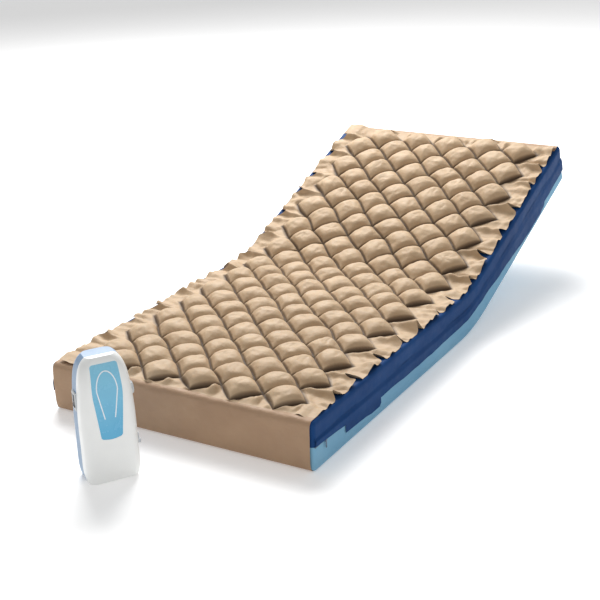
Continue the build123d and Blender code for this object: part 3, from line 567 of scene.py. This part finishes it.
storm_flaps = {side: storm_flap(side) for side in (1, -1)}
pocket = label_pocket()
zips = {side: zip_tape(side) for side in (1, -1)}


# ---------------------------------------------------------------- tuck-in flaps of the pad
def end_flap(end):
    """The sheet from the pad's end edge down the mattress end and in under it."""
    x = np.linspace(-PAD_HALF, PAD_HALF, 111)
    turn = np.radians(np.linspace(0, 90, 7))
    # the flap's line, as (how far out from the mattress's end, height)
    path = [(-EDGE_ROUND - 0.03, PAD_TOP - 0.0004), (-EDGE_ROUND - 0.008, PAD_TOP - 0.0001)]
    upper = COVER_TOP - EDGE_ROUND
    path += [(0.0148 * math.sin(a) - EDGE_ROUND, upper + 0.0148 * math.cos(a)) for a in turn]
    path += [(0.0018, z) for z in np.linspace(0.13, 0.02, 17)]
    path += [(0.0146 * math.cos(a) - EDGE_ROUND, 0.0135 - 0.0127 * math.sin(a)) for a in turn]
    path += [(-s, 0.0008) for s in np.linspace(0.02, FLAP_TUCK, 10)]
    rows = []
    for out, z in path:
        where = np.stack([x, np.full_like(x, z)], axis=1)
        hang = smoothstep(0.004, 0.03, z) * smoothstep(-0.150, -0.130, -z)
        loose = waves(where, ((0.5, 0.0011), (0.16, 0.0006), (0.07, 0.0003)), 71 + end)
        bulge = 0.0032 * math.sin(math.pi * min(z / COVER_TOP, 1)) + 0.001
        reach = out + hang * np.maximum(bulge + loose, 0)
        y = FOOT_Y - reach if end < 0 else HEAD_Y + reach
        rows.append(np.stack([x, y, np.full_like(x, z)], axis=1))
    return strip("foot_flap_sheet" if end < 0 else "head_flap_sheet", rows)


flaps = {end: end_flap(end) for end in (-1, 1)}


# ---------------------------------------------------------------- materials
class Nodes:
    """Adds nodes to one material and joins them up."""

    def __init__(self, name):
        self.material = bpy.data.materials.new(name)
        self.material.use_nodes = True
        self.tree = self.material.node_tree
        self.shader = self.tree.nodes["Principled BSDF"]
        self.place = self.add("ShaderNodeTexCoord").outputs["Object"]

    def add(self, kind, **values):
        node = self.tree.nodes.new(kind)
        for key, value in values.items():
            setattr(node, key, value)
        return node

    def link(self, source, target):
        self.tree.links.new(source, target)

    def noise(self, scale, detail=3.0, stretch=(1, 1, 1)):
        """Soft noise in the piece's own space; stretch sets how fast it changes along each axis."""
        mapping = self.add("ShaderNodeMapping")
        mapping.inputs["Scale"].default_value = stretch
        self.link(self.place, mapping.inputs["Vector"])
        noise = self.add("ShaderNodeTexNoise")
        noise.inputs["Scale"].default_value = scale
        noise.inputs["Detail"].default_value = detail
        self.link(mapping.outputs["Vector"], noise.inputs["Vector"])
        return noise.outputs["Fac"]

    def blend_colours(self, factor, first, second):
        """Mixes two colours, each of them a tuple or a socket, by a factor socket."""
        mix = self.add("ShaderNodeMix", data_type="RGBA")
        for socket, colour in ((mix.inputs[6], first), (mix.inputs[7], second)):
            if isinstance(colour, tuple):
                socket.default_value = (*colour, 1)
            else:
                self.link(colour, socket)
        self.link(factor, mix.inputs[0])
        return mix.outputs[2]

    def remap(self, value, low, high, new_low, new_high):
        """Carries low..high to new_low..new_high, and clamps beyond."""
        ranged = self.add("ShaderNodeMapRange")
        for name, number in (
            ("From Min", low), ("From Max", high), ("To Min", new_low), ("To Max", new_high)
        ):
            ranged.inputs[name].default_value = number
        self.link(value, ranged.inputs["Value"])
        return ranged.outputs["Result"]

    def bumps(self, *layers):
        """Layers of (height, distance in metres), one on top of the other."""
        normal = None
        for height, distance in layers:
            bump = self.add("ShaderNodeBump")
            bump.inputs["Distance"].default_value = distance
            bump.inputs["Strength"].default_value = 1.0
            self.link(height, bump.inputs["Height"])
            if normal is not None:
                self.link(normal, bump.inputs["Normal"])
            normal = bump.outputs["Normal"]
        self.link(normal, self.shader.inputs["Normal"])


def finish_of(name, colour, second, rough=(0.4, 0.5), patch=18, grain=900, bump=0.0002, metal=0.0):
    """A plain procedural finish: two close colours in soft patches, uneven roughness and a fine grain."""
    nodes = Nodes(name)
    patches = nodes.noise(patch, 4)
    colours = nodes.blend_colours(nodes.remap(patches, 0.3, 0.7, 0, 1), colour, second)
    nodes.link(colours, nodes.shader.inputs["Base Color"])
    nodes.link(nodes.remap(nodes.noise(patch * 3), 0.3, 0.7, *rough), nodes.shader.inputs["Roughness"])
    nodes.bumps((nodes.noise(grain, 2), bump))
    nodes.shader.inputs["Metallic"].default_value = metal
    return nodes


def woven(name, colour, second, rough, crease=0.0006):
    """Coated cloth: a faint weave, soft creases and broad tone changes."""
    nodes = Nodes(name)
    tone = nodes.noise(5, 3)
    colours = nodes.blend_colours(nodes.remap(tone, 0.35, 0.65, 0, 1), colour, second)
    nodes.link(colours, nodes.shader.inputs["Base Color"])
    nodes.link(nodes.remap(nodes.noise(30), 0.3, 0.7, *rough), nodes.shader.inputs["Roughness"])
    threads = nodes.noise(1400, 1, (1, 0.3, 1))
    nodes.bumps((nodes.noise(24, 4, (0.6, 1, 1.6)), crease), (threads, 0.00008))
    nodes.shader.inputs["Specular IOR Level"].default_value = 0.08
    return nodes.material


# the welds' own darker double film together with painted shade, as if the creases between the cells lay in shadow
WELD_AND_PAINTED_SHADE_COLOUR = (0.07, 0.04, 0.02)


def film(name, hollow, first=(0.46, 0.325, 0.20), second=(0.53, 0.385, 0.245)):
    """The pad's soft PVC film. hollow names an attribute that rises from 0 in the welds, where the film takes the
    welds' own darker colour and painted crease shade.
    """
    nodes = Nodes(name)
    tone = nodes.remap(nodes.noise(9, 4), 0.3, 0.7, 0, 1)
    colours = nodes.blend_colours(tone, first, second)
    if hollow:
        # towards the welds the colour turns to the welds' darker film and painted crease shade
        attribute = nodes.add("ShaderNodeAttribute", attribute_name=hollow)
        share = nodes.remap(attribute.outputs["Fac"], 0.02, 0.15, 0, 1)
        colours = nodes.blend_colours(share, WELD_AND_PAINTED_SHADE_COLOUR, colours)
    nodes.link(colours, nodes.shader.inputs["Base Color"])
    nodes.link(nodes.remap(nodes.noise(40), 0.3, 0.7, 0.55, 0.7), nodes.shader.inputs["Roughness"])
    nodes.bumps((nodes.noise(32, 5), 0.004), (nodes.noise(700, 2), 0.00006))
    nodes.shader.inputs["Specular IOR Level"].default_value = 0.3
    nodes.shader.inputs["Subsurface Weight"].default_value = 0.06
    nodes.shader.inputs["Subsurface Radius"].default_value = (0.01, 0.005, 0.0025)
    return nodes.material


def panel_film():
    """The pump's front film: deeper blue at the foot, paler at the top, a little mottled."""
    nodes = Nodes("panel_film")
    low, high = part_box("pump_panel")[0][2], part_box("pump_panel")[1][2]
    split = nodes.add("ShaderNodeSeparateXYZ")
    nodes.link(nodes.place, split.inputs["Vector"])
    height = nodes.remap(split.outputs["Z"], low, high, 0, 1)
    upper = nodes.blend_colours(height, (0.10, 0.44, 0.70), (0.26, 0.60, 0.78))
    mottled = nodes.blend_colours(nodes.remap(nodes.noise(30), 0.3, 0.7, 0, 0.12), upper, (0.06, 0.26, 0.5))
    nodes.link(mottled, nodes.shader.inputs["Base Color"])
    nodes.link(nodes.remap(nodes.noise(60), 0.3, 0.7, 0.2, 0.3), nodes.shader.inputs["Roughness"])
    nodes.bumps((nodes.noise(500, 2), 0.00004))
    return nodes.material


# plain finishes: two close colours, the range of roughness, the sizes of patches and grain (higher is finer),
# the grain's depth in metres, and for metals how metallic they are
FINISHES = {
    "foam_firm": (
        "foam_blue_grey", (0.5, 0.56, 0.62), (0.6, 0.66, 0.7), (0.9, 0.98), 30, 420, 0.0008,
    ),
    "foam_soft": (
        "foam_cream", (0.72, 0.69, 0.56), (0.8, 0.78, 0.66), (0.9, 0.98), 30, 420, 0.0008,
    ),
    "zip_plastic": (
        "zip_moulded", (0.05, 0.08, 0.15), (0.08, 0.12, 0.2), (0.35, 0.5), 60, 900, 0.0003,
    ),
    "zip_metal": (
        "zip_plated", (0.10, 0.15, 0.22), (0.14, 0.20, 0.28), (0.3, 0.45), 90, 800, 0.00005, 0.7,
    ),
    "case_white": (
        "case_white", (0.86, 0.87, 0.855), (0.90, 0.91, 0.895), (0.28, 0.38), 9, 1100, 0.00006,
    ),
    "case_blue_grey": (
        "case_blue", (0.22, 0.33, 0.49), (0.26, 0.38, 0.54), (0.38, 0.5), 12, 900, 0.00014,
    ),
    "panel_mark": (
        "panel_print", (0.8, 0.86, 0.9), (0.86, 0.9, 0.94), (0.3, 0.4), 30, 700, 0.00003,
    ),
    "control_black": (
        "control_black", (0.02, 0.02, 0.024), (0.04, 0.04, 0.045), (0.38, 0.5), 40, 900, 0.00015,
    ),
    "control_grey": (
        "control_grey", (0.52, 0.55, 0.56), (0.6, 0.62, 0.63), (0.4, 0.52), 40, 900, 0.00012,
    ),
    "rubber_black": (
        "rubber", (0.022, 0.022, 0.022), (0.04, 0.04, 0.04), (0.7, 0.85), 50, 600, 0.0003,
    ),
    "steel": (
        "plated_steel", (0.5, 0.5, 0.51), (0.62, 0.62, 0.63), (0.25, 0.42), 60, 700, 0.00006, 1.0,
    ),
    "core_steel": (
        "core_steel", (0.26, 0.26, 0.28), (0.36, 0.36, 0.38), (0.4, 0.6), 60, 700, 0.0001, 1.0,
    ),
    "copper": (
        "copper_wire", (0.5, 0.2, 0.08), (0.62, 0.3, 0.13), (0.3, 0.45), 60, 600, 0.0003, 0.9,
    ),
    "board_green": (
        "board", (0.02, 0.15, 0.07), (0.05, 0.24, 0.11), (0.35, 0.5), 120, 500, 0.0001,
    ),
    "tube_clear": (
        "tube", (0.66, 0.67, 0.64), (0.76, 0.77, 0.74), (0.25, 0.4), 60, 500, 0.00008,
    ),
}
SLOT_MATERIALS = {
    "cover_dark": woven("coated_cloth_dark", (0.006, 0.040, 0.145), (0.010, 0.054, 0.18), (0.5, 0.62)),
    "cover_light": woven("coated_cloth_light", (0.17, 0.37, 0.54), (0.21, 0.42, 0.58), (0.45, 0.6)),
    # the cells' film darkened with painted shade, for the end flaps that hang down the mattress ends
    "pad_film": film("pvc_film_painted_shade", None, (0.37, 0.235, 0.145), (0.42, 0.275, 0.17)),
    "panel_blue": panel_film(),
}
for slot, values in FINISHES.items():
    SLOT_MATERIALS[slot] = finish_of(*values).material
for part in frame["record"]["subparts"]:
    data = frame["nodes"][part["node"]].data
    data.materials.clear()
    data.materials.append(SLOT_MATERIALS[part["material_slot"]])


def declare(piece, slot, *nodes, material=None):
    """Gives a soft piece the finish of its slot, and hides its CAD nodes so that it stands for them."""
    piece.data.materials.append(material or SLOT_MATERIALS[slot])
    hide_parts(*nodes)


def both(name):
    """The two CAD nodes of a piece that runs over the fold."""
    return f"{name}_base", f"{name}_back"


mattress = {
    cover_top: ("cover_dark", both("top_cover")),
    cover_bottom: ("cover_light", both("bottom_cover")),
    foam_firm: ("foam_firm", both("support_foam")),
    foam_soft: ("foam_soft", both("comfort_foam")),
    storm_flaps[1]: ("cover_dark", both("storm_flap")),
    storm_flaps[-1]: ("cover_dark", both("storm_flap")),
    zips[1]: ("zip_plastic", both("zip_chain")),
    zips[-1]: ("zip_plastic", both("zip_chain")),
}
for piece, (slot, nodes) in mattress.items():
    declare(piece, slot, *nodes)
    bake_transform(piece)
declare(pad, "pad_film", *both("bubble_pad"), material=film("pvc_film_cells", "hollow"))
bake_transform(pad)
declare(pocket, "cover_dark", "label_pocket")
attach(pocket, "mattress_base")
# both end flaps wear the pad's film darkened with painted shade
declare(flaps[-1], "pad_film", "foot_flap")
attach(flaps[-1], "mattress_base")
declare(flaps[1], "pad_film", "head_flap")
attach(flaps[1], "mattress_back")


# ---------------------------------------------------------------- floor and light
# each lamp's name, place, size in metres and power in watts
LAMPS = (("key", (-2.2, 2.9, 4.0), 3.2, 420), ("fill", (3.2, -3.0, 2.6), 3.0, 12))
LAMPS_FACE = (0, 0.4, 0.1)
FLOOR = 14  # half the floor's width


def studio():
    """A white floor that glows a little, an even white surround and two large lamps."""
    corners = [(-FLOOR, -FLOOR, 0), (FLOOR, -FLOOR, 0), (FLOOR, FLOOR, 0), (-FLOOR, FLOOR, 0)]
    floor = new_mesh("floor", corners, [(0, 1, 2, 3)])
    paper = finish_of("floor", (0.90, 0.90, 0.90), (0.92, 0.92, 0.92), (0.7, 0.8), 1, 40, 0.0001)
    paper.shader.inputs["Emission Color"].default_value = (1, 1, 1, 1)
    paper.shader.inputs["Emission Strength"].default_value = 0.25
    floor.data.materials.append(paper.material)
    world = bpy.data.worlds.new("studio")
    bpy.context.scene.world = world
    world.use_nodes = True
    world.node_tree.nodes["Background"].inputs["Color"].default_value = (1, 1, 1, 1)
    world.node_tree.nodes["Background"].inputs["Strength"].default_value = 0.46
    for name, place, size, power in LAMPS:
        light = bpy.data.objects.new(name, bpy.data.lights.new(name, "AREA"))
        bpy.context.collection.objects.link(light)
        light.data.energy = power
        light.data.size = size
        light.location = place
        light.rotation_euler = (Vector(LAMPS_FACE) - light.location).to_track_quat("-Z", "Y").to_euler()


studio()
bpy.context.scene.view_settings.view_transform = "Standard"
